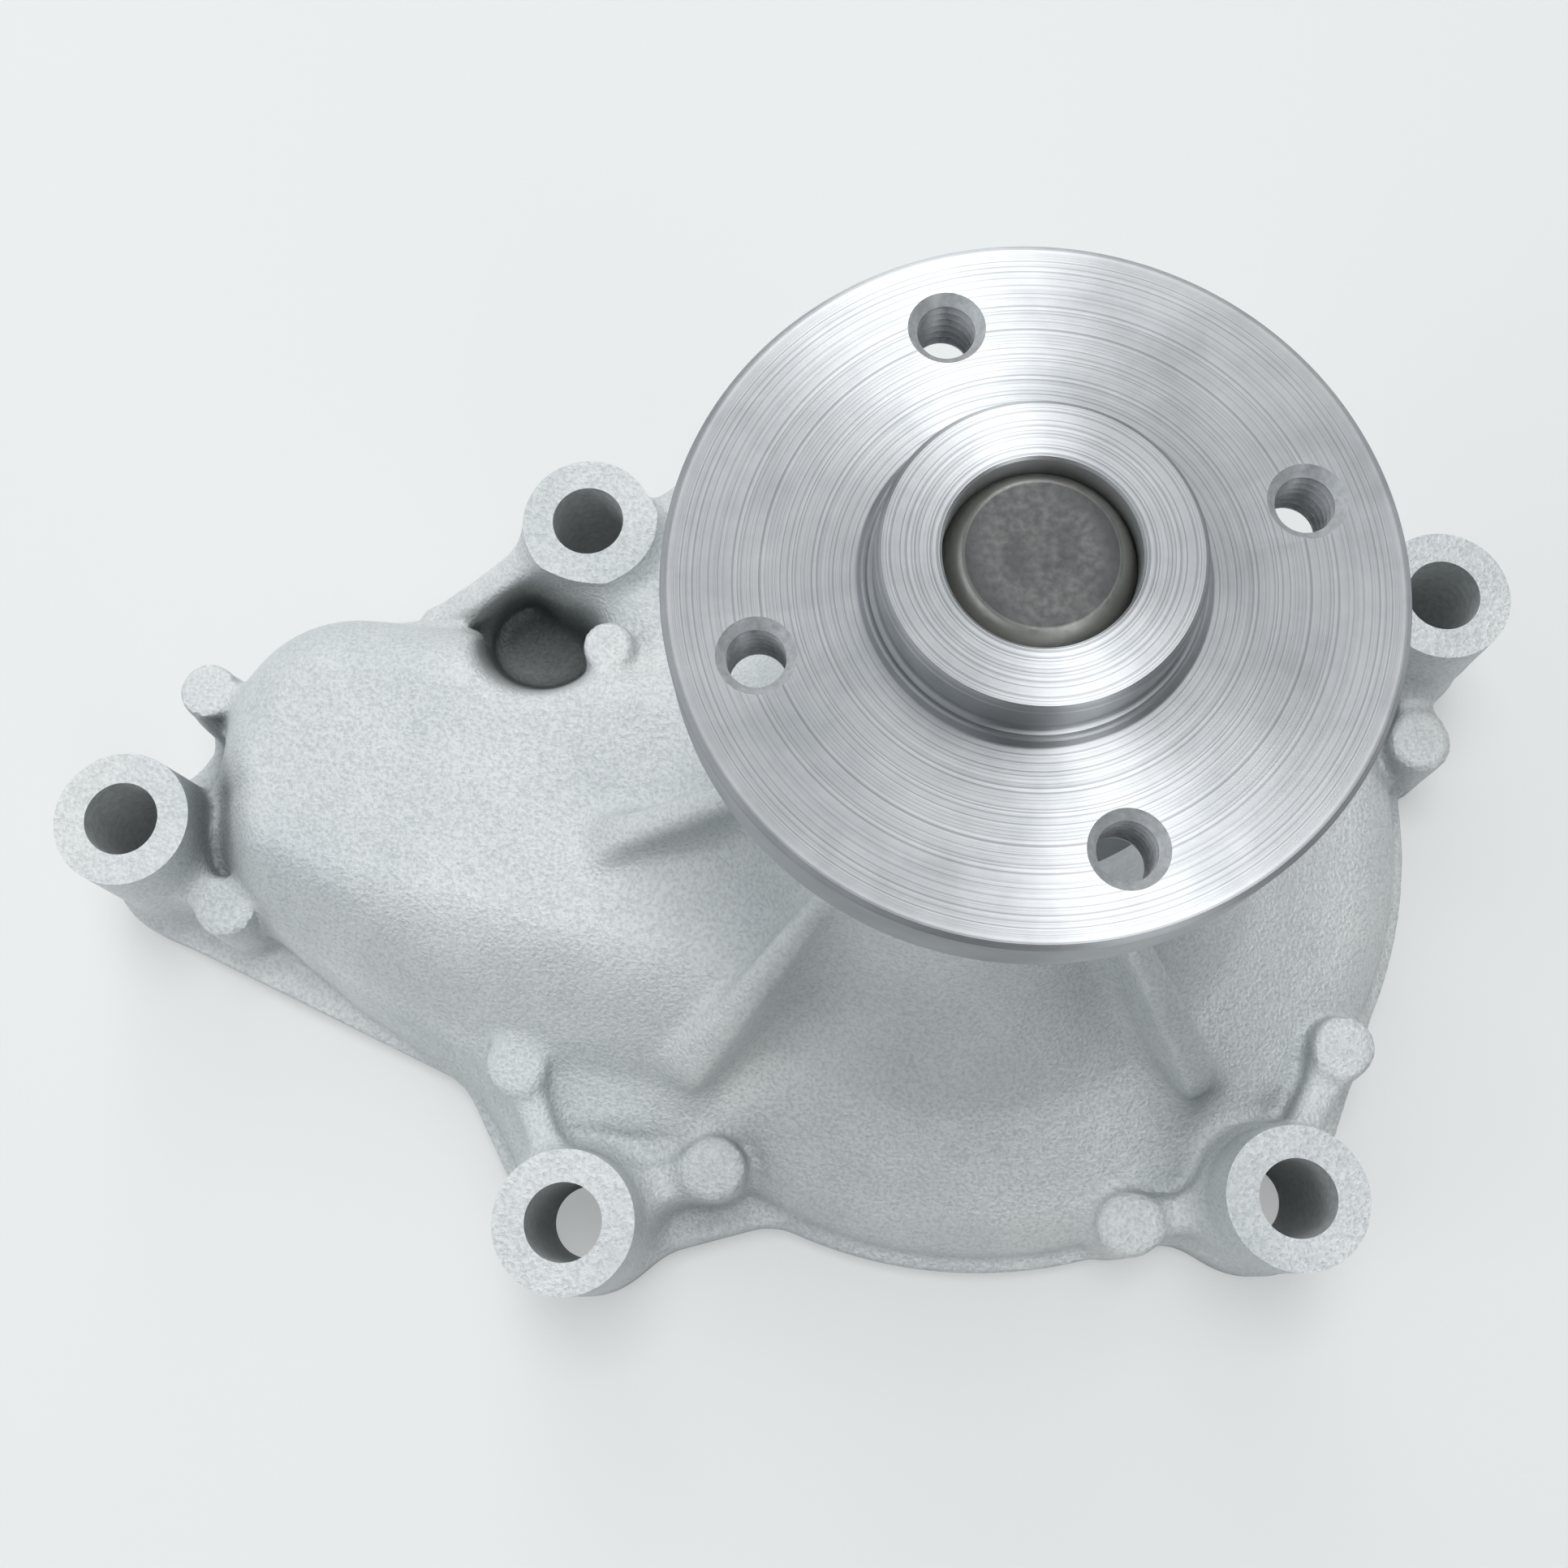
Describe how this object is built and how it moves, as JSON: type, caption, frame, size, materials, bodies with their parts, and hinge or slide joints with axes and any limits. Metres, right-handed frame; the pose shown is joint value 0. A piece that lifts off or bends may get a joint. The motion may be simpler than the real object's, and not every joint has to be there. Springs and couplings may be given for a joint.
{
  "type": "engine water pump",
  "caption": "Belt-driven engine coolant pump: die-cast volute housing with bolt bosses, shaft bearing, face seal, impeller and a tapped drive flange.",
  "frame": {"origin": "on the shaft axis, in the plane of the gasket face that meets the engine block", "axes": "+Z along the shaft from the gasket face to the drive flange, +X away from the outlet passage along the longest side of the housing, +Y across it"},
  "size_m": [0.1813, 0.1192, 0.1006],
  "materials": {
    "cast_aluminium": "shot-blasted die casting",
    "turned_steel": "bright turned",
    "bearing_steel": "ground and browned",
    "ball_steel": "polished",
    "black_rubber": "matt moulded",
    "cage_plastic": "moulded glass-filled nylon",
    "seal_brass": "drawn",
    "spring_steel": "bright wire",
    "carbon": "lapped carbon graphite",
    "ceramic": "lapped alumina",
    "cast_iron": "as cast"
  },
  "bodies": {
    "casing": {"pump_housing": "cast_aluminium", "bearing_outer_ring": "bearing_steel", "front_bearing_seal": "black_rubber", "rear_bearing_seal": "black_rubber", "seal_case": "seal_brass", "seal_bellows": "black_rubber", "seal_spring": "spring_steel", "carbon_ring": "carbon"},
    "rotor": {"bearing_shaft": "bearing_steel", "drive_flange": "turned_steel", "impeller": "cast_iron", "slinger": "black_rubber", "ceramic_seat": "ceramic", "seat_cup": "black_rubber"},
    "front_ball_set": {"front_bearing_cage": "cage_plastic", "front_ball_1": "ball_steel", "front_ball_2": "ball_steel", "front_ball_3": "ball_steel", "front_ball_4": "ball_steel", "front_ball_5": "ball_steel", "front_ball_6": "ball_steel", "front_ball_7": "ball_steel", "front_ball_8": "ball_steel"},
    "rear_ball_set": {"rear_bearing_cage": "cage_plastic", "rear_ball_1": "ball_steel", "rear_ball_2": "ball_steel", "rear_ball_3": "ball_steel", "rear_ball_4": "ball_steel", "rear_ball_5": "ball_steel", "rear_ball_6": "ball_steel", "rear_ball_7": "ball_steel", "rear_ball_8": "ball_steel"}
  },
  "joints": [
    {"name": "shaft_spin", "type": "hinge", "parent": "casing", "child": "rotor", "pos_m": [0, 0, 0.05], "axis": [0, 0, 1], "continuous": true},
    {"name": "front_cage_spin", "type": "hinge", "parent": "casing", "child": "front_ball_set", "pos_m": [0, 0, 0.0623], "axis": [0, 0, 1], "continuous": true},
    {"name": "rear_cage_spin", "type": "hinge", "parent": "casing", "child": "rear_ball_set", "pos_m": [0, 0, 0.0427], "axis": [0, 0, 1], "continuous": true}
  ],
  "couplings": [
    {"joint": "front_cage_spin", "follows": "shaft_spin", "ratio": 0.3529},
    {"joint": "rear_cage_spin", "follows": "shaft_spin", "ratio": 0.3529}
  ]
}
